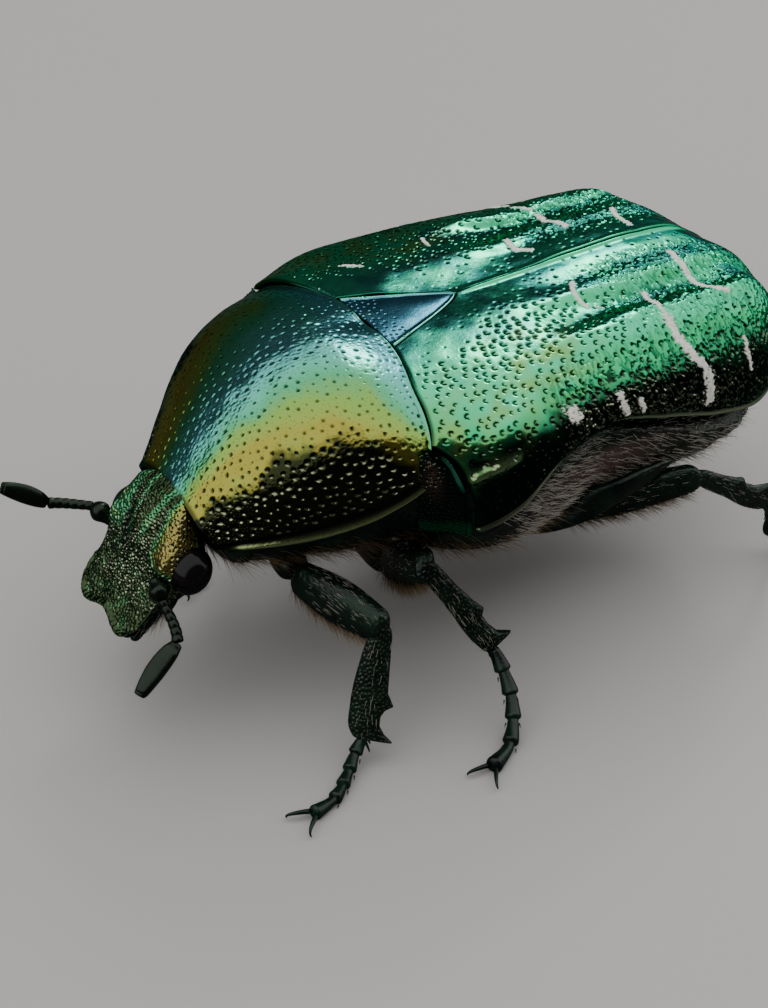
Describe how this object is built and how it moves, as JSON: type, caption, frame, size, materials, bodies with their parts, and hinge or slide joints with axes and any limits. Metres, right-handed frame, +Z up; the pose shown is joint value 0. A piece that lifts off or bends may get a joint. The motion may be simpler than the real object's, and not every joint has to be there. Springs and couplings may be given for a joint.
{
  "type": "rose chafer beetle model",
  "caption": "A still, life-size model of a rose chafer beetle standing on its feet, with domed metallic green wing cases, a pitted pronotum, clubbed antennae and clawed legs",
  "frame": {"origin": "on the floor, below the middle of the model's bounding box", "axes": "+Z up, head towards -Y, tail towards +Y, the beetle's left side towards +X"},
  "size_m": [0.016, 0.023, 0.0092],
  "materials": {
    "pronotum_green": "iridescent gold-green, glossy, pitted",
    "wing_case_green": "iridescent emerald green, glossy, with pale marks",
    "scutellum_blue": "iridescent slate blue, glossy, nearly smooth",
    "cuticle_dark": "near-black green, satin, punctured and hairy",
    "eye_black": "polished black"
  },
  "bodies": {
    "root": {"pronotum": "pronotum_green", "scutellum": "scutellum_blue", "elytron_left": "wing_case_green", "elytron_right": "wing_case_green", "prothorax": "cuticle_dark", "thorax": "cuticle_dark", "abdomen": "cuticle_dark", "pygidium": "cuticle_dark", "mesepimeron_left": "wing_case_green", "mesepimeron_right": "wing_case_green", "head": "cuticle_dark", "eye_left": "eye_black", "eye_right": "eye_black", "mouthparts": "cuticle_dark", "antenna_left": "cuticle_dark", "antenna_club_left": "cuticle_dark", "antenna_right": "cuticle_dark", "antenna_club_right": "cuticle_dark", "coxa_front_left": "cuticle_dark", "femur_front_left": "cuticle_dark", "tibia_front_left": "cuticle_dark", "tarsus_front_left": "cuticle_dark", "coxa_front_right": "cuticle_dark", "femur_front_right": "cuticle_dark", "tibia_front_right": "cuticle_dark", "tarsus_front_right": "cuticle_dark", "coxa_mid_left": "cuticle_dark", "femur_mid_left": "cuticle_dark", "tibia_mid_left": "cuticle_dark", "tarsus_mid_left": "cuticle_dark", "coxa_mid_right": "cuticle_dark", "femur_mid_right": "cuticle_dark", "tibia_mid_right": "cuticle_dark", "tarsus_mid_right": "cuticle_dark", "coxa_hind_left": "cuticle_dark", "femur_hind_left": "cuticle_dark", "tibia_hind_left": "cuticle_dark", "tarsus_hind_left": "cuticle_dark", "coxa_hind_right": "cuticle_dark", "femur_hind_right": "cuticle_dark", "tibia_hind_right": "cuticle_dark", "tarsus_hind_right": "cuticle_dark"}
  },
  "joints": []
}
